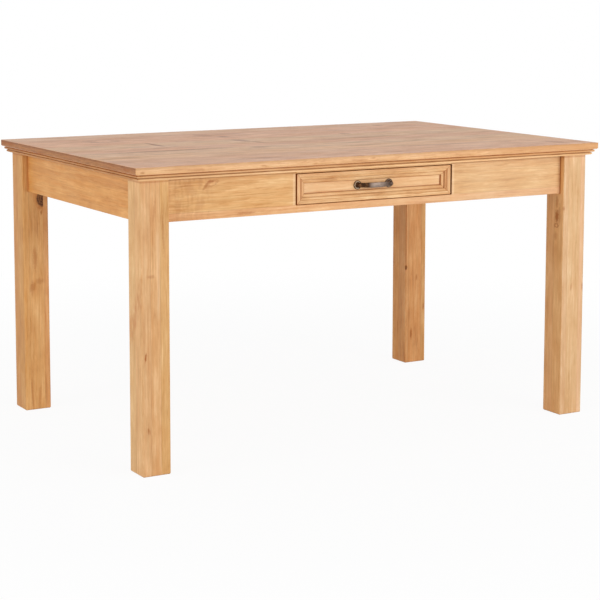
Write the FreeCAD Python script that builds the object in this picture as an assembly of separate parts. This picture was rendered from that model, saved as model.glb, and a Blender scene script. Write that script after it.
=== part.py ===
"""Pine dining table with one drawer in the front apron.

Millimetres, +Z up, origin on the floor under the middle of the top.
+X runs along the length of the top and the drawer opens towards -Y.
The bolted-on legs, aprons and top are the fixed body; the drawer slides.
"""
import FreeCAD
import Part
import math
import os

V = FreeCAD.Vector

# ---------------------------------------------------------------- top
top_length = 1400.0
top_depth = 900.0
table_height = 760.0
slab_thickness = 18.0
slab_lower_round = 6.0
slab_upper_round = 1.5
slab_corner_round = 2.5
overhang = 24.0               # slab edge beyond the outer faces of the legs

# beaded moulding under the edge of the slab
moulding_inset = 7.0          # slab edge to the crown of the upper bead
bead_radius = 3.0
bead_step = 5.0               # lower bead set in from the upper bead
quirk_height = 1.4            # narrow flat above each bead
quirk_depth = 3.6             # bottom of a quirk behind the crown of its bead
moulding_foot = 0.6           # flat under the lower bead

# ---------------------------------------------------------------- legs
leg_size = 75.0
leg_edge_round = 3.0
leg_foot_chamfer = 2.0
leg_flat_cut = 20.0           # planed inner corner that faces the corner block
leg_flat_below_apron = 12.0

# ---------------------------------------------------------------- aprons
apron_thickness = 22.0
apron_reveal = 18.0           # apron face behind the leg face
apron_edge_round = 1.5

# drawer opening, which with the wood over and under it sets the height of the aprons
opening_width = 477.0
opening_height = 80.5
opening_sill = 19.0           # wood left under the opening
opening_head = 22.5           # wood left over the opening
opening_edge_round = 1.0

# ---------------------------------------------------------------- corner fixings
block_thickness = 26.0
block_height = 78.0
block_top_gap = 14.0          # slab to the top of a corner block
block_leg_gap = 4.0
bolt_radius = 4.0
bolt_spacing = 40.0
bolt_in_leg = 45.0
bolt_past_nut = 4.0
washer_radius = 9.0
washer_thickness = 1.6
nut_height = 6.5
nut_across_flats = 13.0

# ---------------------------------------------------------------- top fixings
button_length = 38.0
button_width = 30.0
button_thickness = 20.0
button_tongue = 8.0           # reach of the tongue into its slot
button_tongue_height = 8.0
button_slot_drop = 9.0        # slab to the top of the slot
button_slot_play = 2.0        # slot beyond each side of the tongue
button_gap = 1.0              # apron to the body of the button
button_from_leg_long = 106.0  # leg to the middle of the button, along a long apron
button_from_leg_short = 160.0
batten_from_leg = 181.0       # leg to the middle of the batten
batten_width = 50.0
batten_thickness = 20.0

# ---------------------------------------------------------------- drawer running gear
runner_width = 40.0
runner_height = 36.0
runner_ledge = 22.0           # width of the ledge that the drawer side rides on
runner_ledge_height = 16.0
runner_tongue = 5.0           # reach of the runner's end into the long aprons
kicker_width = 30.0
kicker_play = 1.0             # drawer side to the kicker above it
kicker_tail = 20.0            # kicker beyond the back of the shut drawer
side_play = 1.0               # drawer side to the runner's guide
rest_gap = 0.3                # drawer side over the ledge, and stop behind the drawer
stop_block_length = 18.0
stop_block_height = 14.0

# ---------------------------------------------------------------- drawer front
gap_side = 3.8
gap_top = 1.8
gap_bottom = 1.5
frame_flat = 8.8              # outer flat of the frame member
frame_lip = 0.8               # flat to the start of the cove
frame_cove = 3.6
frame_cove_depth = 2.6
frame_ovolo = 3.8             # radius of the quarter round inside the cove
frame_quirk = 0.8
frame_quirk_depth = 0.8       # bottom of the quirk behind the foot of the quarter round
frame_bead = 7.6              # width of the shallow bead
frame_bead_fall = 2.0         # inner edge of the bead behind its outer edge
frame_bead_crown = 1.3
frame_inner_step = 0.8
frame_inner_drop = 0.7
panel_recess = 13.0
panel_thickness = 5.5
panel_groove = 6.0            # how far the panel reaches into the frame
panel_play = 0.4

# ---------------------------------------------------------------- drawer box
box_length = 350.0
box_headroom = 10.7           # opening to the top of the box sides
box_inset = 2.0               # box side behind the edge of the front
box_front_thickness = 14.0
box_side_thickness = 12.0
box_back_thickness = 12.0
box_back_drop = 4.0           # back lower than the sides
bottom_thickness = 4.0
bottom_rise = 8.0             # under the bottom panel
bottom_groove = 4.0
tail_count = 3
tail_share = 0.68             # wide end of a tail as a share of the pitch
tail_slope = 1.0 / 6.0
pull_stop_width = 60.0
pull_stop_thickness = 10.0
pull_stop_lap = 14.0          # above the edge of the opening that it meets
pull_stop_hold = 40.0         # glued face under the top of the drawer sides
travel_play = 1.0

# ---------------------------------------------------------------- handle
handle_centres = 96.0
rosette_radius = 11.5
rosette_rim = 1.2             # height of the outer rim
rosette_dish_radius = 8.8     # foot of the raised middle
rosette_dish = 2.0
rosette_crown_radius = 6.4
rosette_height = 4.4
post_radius = 3.4
post_flare = 1.2
post_flare_height = 2.5
post_stand_off = 9.0          # panel to the middle of the bow's ends
finial_radius = 4.6
bow_rise = 15.0               # middle of the bow in front of its ends
bow_end_height = 7.5
bow_mid_height = 11.5
bow_thickness = 4.2
bow_edge_bevel = 1.2
handle_screw_radius = 2.0
handle_screw_head = 4.2
handle_screw_head_height = 2.4
handle_screw_reach = 6.5      # thread inside the post
handle_tap_spare = 0.5        # tapped hole beyond the end of the screw

# ---------------------------------------------------------------- fits
hole_play = 0.15
cut_spare = 1.0               # how far a cutting tool runs past the face it cuts through

# ---------------------------------------------------------------- derived places
slab_bottom = table_height - slab_thickness
moulding_height = 2.0 * (quirk_height + 2.0 * bead_radius) + moulding_foot
leg_out_x = top_length / 2.0 - overhang
leg_out_y = top_depth / 2.0 - overhang
leg_in_x = leg_out_x - leg_size
leg_in_y = leg_out_y - leg_size
apron_height = opening_sill + opening_height + opening_head
apron_low = slab_bottom - apron_height
apron_out_x = leg_out_x - apron_reveal
apron_out_y = leg_out_y - apron_reveal
apron_in_x = apron_out_x - apron_thickness
apron_in_y = apron_out_y - apron_thickness

opening_low = apron_low + opening_sill
opening_high = opening_low + opening_height
front_half = opening_width / 2.0 - gap_side
front_low = opening_low + gap_bottom
front_high = opening_high - gap_top
front_middle = (front_low + front_high) / 2.0
front_thickness = apron_thickness       # the shut front is flush with both faces of the apron
front_face = -apron_out_y
front_back = front_face + front_thickness
panel_face = front_face + panel_recess
bead_inset = frame_flat + frame_cove + frame_ovolo + frame_quirk
member_width = bead_inset + frame_bead + frame_inner_step

box_half = front_half - box_inset
box_low = opening_low + rest_gap
box_high = opening_high - box_headroom
box_height = box_high - box_low
box_front_in = front_back + box_front_thickness
box_rear = front_back + box_length
box_back_in = box_rear - box_back_thickness
box_in_half = box_half - box_side_thickness
bottom_low = box_low + bottom_rise
bottom_high = bottom_low + bottom_thickness
guide_half = box_half + side_play
drawer_travel = box_back_in - pull_stop_thickness + apron_in_y - travel_play

corners = {
    "front_left": (-1, -1),
    "front_right": (1, -1),
    "back_left": (-1, 1),
    "back_right": (1, 1),
}
sides = {"left": -1, "right": 1}


# ---------------------------------------------------------------- geometry helpers
def block(x, y, z):
    """Box between pairs of limits given in either order."""
    low = V(min(x), min(y), min(z))
    return Part.makeBox(abs(x[1] - x[0]), abs(y[1] - y[0]), abs(z[1] - z[0]), low)


def rod(radius, start, end):
    """Cylinder between two points."""
    axis = end.sub(start)
    return Part.makeCylinder(radius, axis.Length, start, axis)


def prism(points, reach):
    """Straight extrusion of a flat polygon."""
    wire = Part.makePolygon(points + [points[0]])
    return Part.Face(wire).extrude(reach)


def outline_face(steps, place):
    """Face from an outline of straight steps and arcs.

    Each step is ("line", end) or ("arc", through, end) in flat coordinates,
    the first is ("start", point), and place turns a flat point into a vector.
    """
    here = steps[0][1]
    edges = []
    closing = [] if steps[-1][-1] == here else [("line", here)]
    for step in steps[1:] + closing:
        end = step[-1]
        if step[0] == "arc":
            edges.append(Part.Arc(place(here), place(step[1]), place(end)).toShape())
        else:
            edges.append(Part.makeLine(place(here), place(end)))
        here = end
    return Part.Face(Part.Wire(edges))


def edges_where(shape, test):
    """Straight edges whose two ends both pass a test."""
    chosen = []
    for edge in shape.Edges:
        ends = [vertex.Point for vertex in edge.Vertexes]
        if len(ends) == 2 and test(ends[0], ends[1]):
            chosen.append(edge)
    return chosen


def joined(shapes):
    """One solid from several that touch or overlap."""
    return shapes[0].fuse(shapes[1:]).removeSplitter()


def drilled(shape, holes):
    """The shape less every hole that reaches it."""
    near = [hole for hole in holes if shape.BoundBox.intersect(hole.BoundBox)]
    if not near:
        return shape
    return shape.cut(near)


# ---------------------------------------------------------------- slab and moulding
def slab_section(half, place):
    """Cross-section of the slab with its upper and lower edge rounds."""
    lower = slab_lower_round
    upper = slab_upper_round
    bend = 1.0 - math.sqrt(0.5)
    return outline_face([
        ("start", (-half + lower, slab_bottom)),
        ("line", (half - lower, slab_bottom)),
        ("arc", (half - lower * bend, slab_bottom + lower * bend), (half, slab_bottom + lower)),
        ("line", (half, table_height - upper)),
        ("arc", (half - upper * bend, table_height - upper * bend), (half - upper, table_height)),
        ("line", (-half + upper, table_height)),
        ("arc", (-half + upper * bend, table_height - upper * bend), (-half, table_height - upper)),
        ("line", (-half, slab_bottom + lower)),
        ("arc", (-half + lower * bend, slab_bottom + lower * bend), (-half + lower, slab_bottom)),
    ], place)


def tabletop():
    """Slab moulded along its four sides, so that the profiles meet on mitre creases."""
    half_x = top_length / 2.0
    half_y = top_depth / 2.0
    along_x = slab_section(half_y, lambda p: V(-half_x, p[0], p[1])).extrude(V(top_length, 0, 0))
    along_y = slab_section(half_x, lambda p: V(p[0], -half_y, p[1])).extrude(V(0, top_depth, 0))
    plan = block((-half_x, half_x), (-half_y, half_y), (slab_bottom, table_height))
    uprights = edges_where(plan, lambda a, b: abs(a.z - b.z) > 1.0)
    plan = plan.makeFillet(slab_corner_round, uprights)
    return along_x.common(along_y).common(plan)


def moulding_section(place):
    """Two beads under quirks, the lower one set in; flat x is the inset, flat y the drop."""
    crown = moulding_inset
    drop = 0.0
    steps = [("start", (overhang, 0.0)), ("line", (crown + quirk_depth, 0.0))]
    for bead in range(2):
        drop += quirk_height
        start = crown + bead_radius
        steps.append(("line", (crown + quirk_depth, drop)))
        steps.append(("line", (start, drop)))
        steps.append(("arc", (crown, drop + bead_radius), (start, drop + 2.0 * bead_radius)))
        drop += 2.0 * bead_radius
        crown += bead_step
        if bead == 0:
            steps.append(("line", (crown + quirk_depth, drop)))
    steps.append(("line", (crown - bead_step + bead_radius, drop + moulding_foot)))
    steps.append(("line", (overhang, drop + moulding_foot)))
    return outline_face(steps, place)


def moulding_strip(half_run, half_across, turn):
    """Strip along +X at the -Y edge, mitred at both ends, then turned about the Z axis."""
    def place(p):
        return V(-half_run, -half_across + p[0], slab_bottom - p[1])
    strip = moulding_section(place).extrude(V(2.0 * half_run, 0, 0))
    low = slab_bottom - moulding_height
    outer = V(-half_run, -half_across, low)
    mitre = prism([
        outer,
        V(half_run, -half_across, low),
        V(half_run - overhang, -half_across + overhang, low),
        V(-half_run + overhang, -half_across + overhang, low),
    ], V(0, 0, moulding_height))
    strip = strip.common(mitre)
    strip.rotate(V(0, 0, 0), V(0, 0, 1), turn)
    return strip


# ---------------------------------------------------------------- corner fixings
def corner_frame(sx, sy):
    """Middle of the planed corner of a leg, and the unit line from it to the table's middle."""
    flat = V(sx * (leg_in_x + leg_flat_cut / 2.0), sy * (leg_in_y + leg_flat_cut / 2.0), 0)
    line = V(-sx, -sy, 0)
    line.normalize()
    return flat, line


def bolt_heights():
    middle = slab_bottom - block_top_gap - block_height / 2.0
    return [middle - bolt_spacing / 2.0, middle + bolt_spacing / 2.0]


def hanger_bolts(play=0.0):
    """Two bolts at each corner, out of the leg and through the corner block."""
    outside = block_leg_gap + block_thickness + washer_thickness + nut_height + bolt_past_nut
    bolts = []
    for sx, sy in corners.values():
        flat, line = corner_frame(sx, sy)
        for height in bolt_heights():
            root = flat + V(0, 0, height)
            start = root - line * (bolt_in_leg + play)
            bolts.append(rod(bolt_radius + play, start, root + line * outside))
    return bolts


def bolt_rings(make, stand_off):
    """One ring per bolt at a distance in front of the planed corner of the leg."""
    rings = []
    for sx, sy in corners.values():
        flat, line = corner_frame(sx, sy)
        for height in bolt_heights():
            rings.append(make(flat + V(0, 0, height) + line * stand_off, line))
    return rings


def bolt_bore(base, line, length):
    """Clear hole for a bolt through a ring."""
    start = base - line * cut_spare
    return rod(bolt_radius + hole_play, start, base + line * (length + cut_spare))


def washer(base, line):
    ring = rod(washer_radius, base, base + line * washer_thickness)
    return ring.cut(bolt_bore(base, line, washer_thickness))


def hexagon_nut(base, line):
    """Hexagon nut with two flats upright."""
    corner = nut_across_flats / math.sqrt(3.0)
    across = line.cross(V(0, 0, 1))
    points = []
    for side in range(6):
        angle = math.radians(60.0 * side + 30.0)
        offset = V(0, 0, 1) * math.sin(angle) + across * math.cos(angle)
        points.append(base + offset * corner)
    return prism(points, line * nut_height).cut(bolt_bore(base, line, nut_height))


def block_faces():
    """x + y on the two long faces of a corner block, the one beside the leg first."""
    planed = leg_in_x + leg_in_y + leg_flat_cut
    outer = planed - block_leg_gap * math.sqrt(2.0)
    return outer, outer - block_thickness * math.sqrt(2.0)


def corner_block(sx, sy):
    """Diagonal block flat on both aprons, a small gap off the planed corner of the leg."""
    outer, inner = block_faces()
    high = slab_bottom - block_top_gap
    low = high - block_height
    plan = [
        V(sx * (outer - apron_in_y), sy * apron_in_y, low),
        V(sx * (inner - apron_in_y), sy * apron_in_y, low),
        V(sx * apron_in_x, sy * (inner - apron_in_x), low),
        V(sx * apron_in_x, sy * (outer - apron_in_x), low),
    ]
    return prism(plan, V(0, 0, block_height))


def leg(sx, sy):
    """Square post with rounded edges, its inner corner planed off beside the corner block."""
    x = (sx * leg_out_x, sx * leg_in_x)
    y = (sy * leg_out_y, sy * leg_in_y)
    post = block(x, y, (0.0, slab_bottom))
    uprights = edges_where(post, lambda a, b: abs(a.z - b.z) > 1.0)
    post = post.makeFillet(leg_edge_round, uprights)
    foot = [edge for edge in post.Edges if edge.BoundBox.ZMax < leg_foot_chamfer]
    post = post.makeChamfer(leg_foot_chamfer, foot)
    low = apron_low - leg_flat_below_apron
    flat = prism([
        V(sx * leg_in_x, sy * leg_in_y, low),
        V(sx * (leg_in_x + leg_flat_cut), sy * leg_in_y, low),
        V(sx * leg_in_x, sy * (leg_in_y + leg_flat_cut), low),
    ], V(0, 0, slab_bottom - low))
    return post.cut(flat)


# ---------------------------------------------------------------- top fixings
def button_places():
    """Each button: point on the apron's inner face under the slab, and the line into the room."""
    places = []
    for sx, sy in corners.values():
        x = leg_in_x - button_from_leg_long
        places.append((V(sx * x, sy * apron_in_y, slab_bottom), V(0, -sy, 0)))
        y = leg_in_y - button_from_leg_short
        places.append((V(sx * apron_in_x, sy * y, slab_bottom), V(-sx, 0, 0)))
    return places


def along(place, line, out, side, drop):
    """Point at a distance out of the apron, along it, and under the slab."""
    across = V(-line.y, line.x, 0)
    return place + line * out + across * side - V(0, 0, drop)


def spanned(corner, opposite):
    """Box between two opposite corners."""
    return block((corner.x, opposite.x), (corner.y, opposite.y), (corner.z, opposite.z))


def button_slots():
    """Slots in the aprons, a little longer and deeper than the tongues."""
    half = button_width / 2.0 + button_slot_play
    floor = button_slot_drop + button_tongue_height + hole_play
    slots = []
    for place, line in button_places():
        inside = along(place, line, -button_tongue - cut_spare, -half, floor)
        slots.append(spanned(inside, along(place, line, 0.0, half, button_slot_drop)))
    return slots


def buttons():
    """Wooden buttons: the tongue sits in the apron's slot and the body screws to the slab."""
    half = button_width / 2.0
    made = []
    for place, line in button_places():
        body = spanned(
            along(place, line, button_gap, -half, button_thickness),
            along(place, line, button_length, half, 0.0),
        )
        tongue = spanned(
            along(place, line, -button_tongue, -half, button_slot_drop + button_tongue_height),
            along(place, line, button_gap, half, button_slot_drop),
        )
        made.append(joined([body, tongue]))
    return made


def batten(side):
    """Cross batten that keeps the slab flat, between the long aprons."""
    x = side * (leg_in_x - batten_from_leg)
    span = (x - batten_width / 2.0, x + batten_width / 2.0)
    return block(span, (-apron_in_y, apron_in_y), (slab_bottom - batten_thickness, slab_bottom))


# ---------------------------------------------------------------- running gear
def runner(side):
    """Rebated runner: a ledge under the drawer side and a guide beside it."""
    inner = side * (guide_half - runner_ledge)
    outer = side * (guide_half - runner_ledge + runner_width)
    low = opening_low - runner_ledge_height
    length = (-apron_in_y - runner_tongue, apron_in_y + runner_tongue)
    ledge = block((inner, outer), length, (low, opening_low))
    guide_span = (side * guide_half, outer)
    guide = block(guide_span, (-apron_in_y, apron_in_y), (opening_low, low + runner_height))
    return joined([ledge, guide])


def kicker(side):
    """Strip under the slab that keeps the pulled drawer from tipping."""
    middle = side * (box_half - box_side_thickness / 2.0)
    x = (middle - kicker_width / 2.0, middle + kicker_width / 2.0)
    y = (-apron_in_y, box_rear + kicker_tail)
    return block(x, y, (box_high + kicker_play, slab_bottom))


def drawer_stops():
    """A block on each ledge that the shut drawer comes to rest against."""
    y = (box_rear + rest_gap, box_rear + rest_gap + stop_block_length)
    z = (opening_low, opening_low + stop_block_height)
    blocks = []
    for side in (-1, 1):
        blocks.append(block((side * (guide_half - runner_ledge), side * guide_half), y, z))
    return blocks


# ---------------------------------------------------------------- aprons
def lower_edges(board, axis):
    """The two lower edges of a board that run along an axis."""
    def runs_below(a, b):
        step = b.sub(a)
        return max(a.z, b.z) < apron_low + apron_edge_round and abs(step.dot(axis)) > apron_thickness
    return edges_where(board, runs_below)


def long_apron(sy):
    """Apron between the legs along a long side."""
    y = (sy * apron_in_y, sy * apron_out_y)
    board = block((-leg_in_x, leg_in_x), y, (apron_low, slab_bottom))
    return board.makeFillet(apron_edge_round, lower_edges(board, V(1, 0, 0)))


def short_apron(sx):
    """Apron between the legs along a short side."""
    x = (sx * apron_in_x, sx * apron_out_x)
    board = block(x, (-leg_in_y, leg_in_y), (apron_low, slab_bottom))
    return board.makeFillet(apron_edge_round, lower_edges(board, V(0, 1, 0)))


def front_apron():
    """One board with a window for the drawer, its front arris eased."""
    half = opening_width / 2.0
    y = (-apron_out_y - cut_spare, -apron_in_y + cut_spare)
    board = long_apron(-1).cut(block((-half, half), y, (opening_low, opening_high)))
    margin = cut_spare
    rim = FreeCAD.BoundBox(-half - margin, -apron_out_y - margin, opening_low - margin,
                           half + margin, -apron_out_y + margin, opening_high + margin)
    front_arris = edges_where(board, lambda a, b: rim.isInside(a) and rim.isInside(b))
    return board.makeFillet(opening_edge_round, front_arris)


# ---------------------------------------------------------------- drawer front
def frame_section(place):
    """Moulded frame member: flat, cove, quarter round, quirk, shallow bead, step and groove.

    Flat x runs from the outer edge inwards, flat y is the depth behind the face.
    """
    cove_x = frame_flat + frame_cove
    cove_y = frame_cove_depth
    bend = math.sqrt(0.5)
    cove_middle = (cove_x - frame_cove * bend, frame_lip + (cove_y - frame_lip) * bend)
    ovolo_x = cove_x + frame_ovolo
    ovolo_y = cove_y + frame_ovolo
    ovolo_middle = (cove_x + frame_ovolo * bend, ovolo_y - frame_ovolo * bend)
    quirk_y = ovolo_y + frame_quirk_depth
    bead_end = (bead_inset + frame_bead, quirk_y + frame_bead_fall)
    bead_middle = (bead_inset + frame_bead / 2.0, quirk_y + frame_bead_fall / 2.0 - frame_bead_crown)
    step_y = bead_end[1] + frame_inner_drop
    groove_x = member_width - panel_groove
    groove_end = panel_recess + panel_thickness + panel_play / 2.0
    return outline_face([
        ("start", (0.0, 0.0)),
        ("line", (frame_flat, 0.0)),
        ("line", (frame_flat, frame_lip)),
        ("arc", cove_middle, (cove_x, cove_y)),
        ("arc", ovolo_middle, (ovolo_x, ovolo_y)),
        ("line", (ovolo_x, quirk_y)),
        ("line", (bead_inset, quirk_y)),
        ("arc", bead_middle, bead_end),
        ("line", (bead_end[0], step_y)),
        ("line", (member_width, step_y)),
        ("line", (member_width, panel_recess)),
        ("line", (groove_x, panel_recess)),
        ("line", (groove_x, groove_end)),
        ("line", (member_width, groove_end)),
        ("line", (member_width, front_thickness)),
        ("line", (0.0, front_thickness)),
    ], place)


def frame_member(edge):
    """Moulded member along one edge of the front, cut on the mitres."""
    height = front_high - front_low
    reach = member_width
    if edge in ("top", "bottom"):
        sign = 1.0 if edge == "bottom" else -1.0
        base = front_low if edge == "bottom" else front_high
        section = frame_section(lambda p: V(-front_half, front_face + p[1], base + sign * p[0]))
        bar = section.extrude(V(2.0 * front_half, 0, 0))
        corner = [
            V(-front_half, front_face, base),
            V(front_half, front_face, base),
            V(front_half - reach, front_face, base + sign * reach),
            V(-front_half + reach, front_face, base + sign * reach),
        ]
    else:
        sign = sides[edge]
        base = sign * front_half
        section = frame_section(lambda p: V(base - sign * p[0], front_face + p[1], front_low))
        bar = section.extrude(V(0, 0, height))
        corner = [
            V(base, front_face, front_low),
            V(base, front_face, front_high),
            V(base - sign * reach, front_face, front_high - reach),
            V(base - sign * reach, front_face, front_low + reach),
        ]
    return bar.common(prism(corner, V(0, front_thickness, 0)))


def front_panel():
    """Flat panel held in the grooves of the frame."""
    hold = member_width - panel_groove + panel_play
    x = front_half - hold
    z = (front_low + hold, front_high - hold)
    return block((-x, x), (panel_face, panel_face + panel_thickness), z)


# ---------------------------------------------------------------- drawer box
def tail_heights():
    pitch = box_height / tail_count
    return [box_low + pitch * (turn + 0.5) for turn in range(tail_count)]


def dovetail(x, shoulder, end, height):
    """One tail: narrow at the shoulder, wide at the end grain, through the side board."""
    wide = box_height / tail_count * tail_share / 2.0
    narrow = wide - abs(end - shoulder) * tail_slope
    low = min(x)
    profile = [
        V(low, shoulder, height - narrow),
        V(low, shoulder, height + narrow),
        V(low, end, height + wide),
        V(low, end, height - wide),
    ]
    return prism(profile, V(abs(x[1] - x[0]), 0, 0))


def side_span(side):
    return (side * box_in_half, side * box_half)


def front_tails(side):
    return [dovetail(side_span(side), box_front_in, front_back, z) for z in tail_heights()]


def rear_tails(side):
    """Tails at the back, only those that stand clear above the bottom panel."""
    heights = [z for z in tail_heights() if z - box_height / tail_count / 2.0 > bottom_low]
    return [dovetail(side_span(side), box_back_in, box_rear, z) for z in heights]


def bottom_panel(play=0.0):
    """Thin board slid in from the back under the drawer back, or its groove if play is given."""
    reach = box_in_half + bottom_groove - panel_play + 2.0 * play
    front = box_front_in - bottom_groove + panel_play - 2.0 * play
    z = (bottom_low - play, bottom_high + play)
    return block((-reach, reach), (front, box_rear), z)


def box_side(side):
    """Side board with tails at both ends; below the drawer back it runs to the end."""
    board = block(side_span(side), (box_front_in, box_back_in), (box_low, box_high))
    heel = block(side_span(side), (box_back_in, box_rear), (box_low, bottom_high + hole_play))
    parts = [board, heel] + front_tails(side) + rear_tails(side)
    return joined(parts).cut(bottom_panel(hole_play))


def box_front():
    board = block((-box_half, box_half), (front_back, box_front_in), (box_low, box_high))
    sockets = front_tails(-1) + front_tails(1)
    return board.cut(sockets).cut(bottom_panel(hole_play))


def box_back():
    z = (bottom_high + hole_play, box_high - box_back_drop)
    board = block((-box_half, box_half), (box_back_in, box_rear), z)
    return board.cut(rear_tails(-1) + rear_tails(1))


def pull_stop():
    """Block on the inside of the drawer back that meets the apron above the opening."""
    half = pull_stop_width / 2.0
    y = (box_back_in - pull_stop_thickness, box_back_in)
    return block((-half, half), y, (box_high - pull_stop_hold, opening_high + pull_stop_lap))


# ---------------------------------------------------------------- handle
def turned(profile, centre):
    """Turned shape about a line out of the drawer front; profile is (radius, stand-off)."""
    points = [V(centre.x + r, centre.y - out, centre.z) for r, out in profile]
    wire = Part.makePolygon(points + [points[0]])
    return Part.Face(wire).revolve(centre, V(0, 1, 0), 360.0)


def handle_feet():
    """Middle of each rosette on the panel."""
    half = handle_centres / 2.0
    return [V(-half, panel_face, front_middle), V(half, panel_face, front_middle)]


def rosettes():
    """Stepped round back plates, bored for the screws."""
    profile = [
        (0, 0),
        (rosette_radius, 0),
        (rosette_radius, rosette_rim),
        (rosette_dish_radius, rosette_dish),
        (rosette_crown_radius, rosette_height),
        (0, rosette_height),
    ]
    made = []
    for foot in handle_feet():
        front = foot - V(0, rosette_height + cut_spare, 0)
        bore = rod(handle_screw_radius + hole_play, foot + V(0, cut_spare, 0), front)
        made.append(turned(profile, foot).cut(bore))
    return made


def bow_strap():
    """Flat strap that bows out between the posts and is tallest in the middle."""
    half = handle_centres / 2.0
    inner = panel_face - post_stand_off + bow_thickness / 2.0
    outer = inner - bow_thickness
    plan = outline_face([
        ("start", (-half, inner)),
        ("arc", (0.0, inner - bow_rise), (half, inner)),
        ("line", (half, outer)),
        ("arc", (0.0, outer - bow_rise), (-half, outer)),
    ], lambda p: V(p[0], p[1], front_middle - bow_mid_height))
    end = bow_end_height / 2.0
    middle = bow_mid_height / 2.0
    depth = bow_rise + bow_thickness + 2.0 * cut_spare
    front = outline_face([
        ("start", (-half, -end)),
        ("arc", (0.0, -middle), (half, -end)),
        ("line", (half, end)),
        ("arc", (0.0, middle), (-half, end)),
    ], lambda p: V(p[0], inner + cut_spare, front_middle + p[1]))
    strap = plan.extrude(V(0, 0, 2.0 * bow_mid_height)).common(front.extrude(V(0, -depth, 0)))
    arrises = [edge for edge in strap.Edges if edge.Length > half]
    return strap.makeChamfer(bow_edge_bevel, arrises)


def bow():
    """Bow pull: the strap between two turned posts with domed ends, tapped for the screws."""
    neck = rosette_height
    stem = [
        (0, neck),
        (post_radius + post_flare, neck),
        (post_radius, neck + post_flare_height),
        (post_radius, post_stand_off),
        (0, post_stand_off),
    ]
    parts = [bow_strap()]
    taps = []
    for foot in handle_feet():
        parts.append(turned(stem, foot))
        parts.append(Part.makeSphere(finial_radius, foot - V(0, post_stand_off, 0)))
        mouth = foot - V(0, neck - cut_spare, 0)
        end = foot - V(0, neck + handle_screw_reach + handle_tap_spare, 0)
        taps.append(rod(handle_screw_radius, mouth, end))
    return joined(parts).cut(taps)


def handle_screws():
    """Pan-head screws from inside the box through front and rosette into the posts."""
    made = []
    for foot in handle_feet():
        seat = V(foot.x, box_front_in, foot.z)
        tip = foot - V(0, rosette_height + handle_screw_reach, 0)
        head = rod(handle_screw_head, seat, seat + V(0, handle_screw_head_height, 0))
        made.append(joined([rod(handle_screw_radius, seat, tip), head]))
    return made


def handle_holes():
    """Clear holes for the handle screws through the front of the box and the panel."""
    holes = []
    for foot in handle_feet():
        inside = V(foot.x, box_front_in + cut_spare, foot.z)
        holes.append(rod(handle_screw_radius + hole_play, inside, foot - V(0, cut_spare, 0)))
    return holes


# ---------------------------------------------------------------- assembly
bolt_holes = hanger_bolts(hole_play)
runners = {name: runner(side) for name, side in sides.items()}
apron_cuts = button_slots() + list(runners.values())
half_length = top_length / 2.0
half_depth = top_depth / 2.0
washer_seat = block_leg_gap + block_thickness

nodes = {
    "tabletop": tabletop(),
    "moulding_front": moulding_strip(half_length, half_depth, 0.0),
    "moulding_right": moulding_strip(half_depth, half_length, 90.0),
    "moulding_back": moulding_strip(half_length, half_depth, 180.0),
    "moulding_left": moulding_strip(half_depth, half_length, 270.0),
    "front_apron": drilled(front_apron(), apron_cuts),
    "back_apron": drilled(long_apron(1), apron_cuts),
    "left_apron": drilled(short_apron(-1), apron_cuts),
    "right_apron": drilled(short_apron(1), apron_cuts),
    "drawer_panel": drilled(front_panel(), handle_holes()),
    "drawer_box_front": drilled(box_front(), handle_holes()),
    "drawer_back": box_back(),
    "drawer_bottom": bottom_panel(),
    "drawer_pull_stop": pull_stop(),
    "handle_bow": bow(),
}
for name, (sx, sy) in corners.items():
    nodes["leg_" + name] = drilled(leg(sx, sy), bolt_holes)
    nodes["corner_block_" + name] = drilled(corner_block(sx, sy), bolt_holes)
for name, side in sides.items():
    nodes["top_batten_" + name] = batten(side)
    nodes["drawer_runner_" + name] = runners[name]
    nodes["drawer_kicker_" + name] = kicker(side)
    nodes["drawer_side_" + name] = box_side(side)
for edge in ("top", "bottom", "left", "right"):
    nodes["drawer_frame_" + edge] = frame_member(edge)

# like pieces that share a node, each its own solid
groups = {
    "hanger_bolts": hanger_bolts(),
    "bolt_washers": bolt_rings(washer, washer_seat),
    "bolt_nuts": bolt_rings(hexagon_nut, washer_seat + washer_thickness),
    "tabletop_buttons": buttons(),
    "drawer_stops": drawer_stops(),
    "handle_rosettes": rosettes(),
    "handle_screws": handle_screws(),
}
for name, solids in groups.items():
    nodes[name] = Part.makeCompound(solids)

os.makedirs("parts", exist_ok=True)
for name, shape in nodes.items():
    sound = bool(shape.Solids) and shape.isValid()
    print(name, len(shape.Solids), "solids", "ok" if sound else "BAD")
    shape.exportStep("parts/" + name + ".step")
print(len(nodes), "nodes; the drawer travels", round(drawer_travel, 3))
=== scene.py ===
"""Pine dining table with one apron drawer: finish, leg posts, handle, wood screws, studio.

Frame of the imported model: +X along the top, the drawer opens towards -Y, +Z up from the
floor. Materials and meshes are written in millimetres, the studio and camera in metres.
"""
import math

import bmesh
import bpy
from mathutils import Matrix, Vector


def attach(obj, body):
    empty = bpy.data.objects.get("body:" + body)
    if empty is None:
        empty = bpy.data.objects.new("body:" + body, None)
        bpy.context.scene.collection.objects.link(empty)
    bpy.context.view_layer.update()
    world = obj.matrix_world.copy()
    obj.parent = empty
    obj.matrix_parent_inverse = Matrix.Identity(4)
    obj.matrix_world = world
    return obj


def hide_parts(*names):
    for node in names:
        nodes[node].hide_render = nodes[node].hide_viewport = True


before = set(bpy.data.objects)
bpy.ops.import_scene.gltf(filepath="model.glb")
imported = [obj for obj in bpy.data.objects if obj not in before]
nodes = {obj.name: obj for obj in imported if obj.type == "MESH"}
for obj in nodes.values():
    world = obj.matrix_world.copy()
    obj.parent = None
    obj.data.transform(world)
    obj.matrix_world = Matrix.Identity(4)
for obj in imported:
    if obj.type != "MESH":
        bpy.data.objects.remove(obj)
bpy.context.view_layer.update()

MM = 0.001

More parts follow.
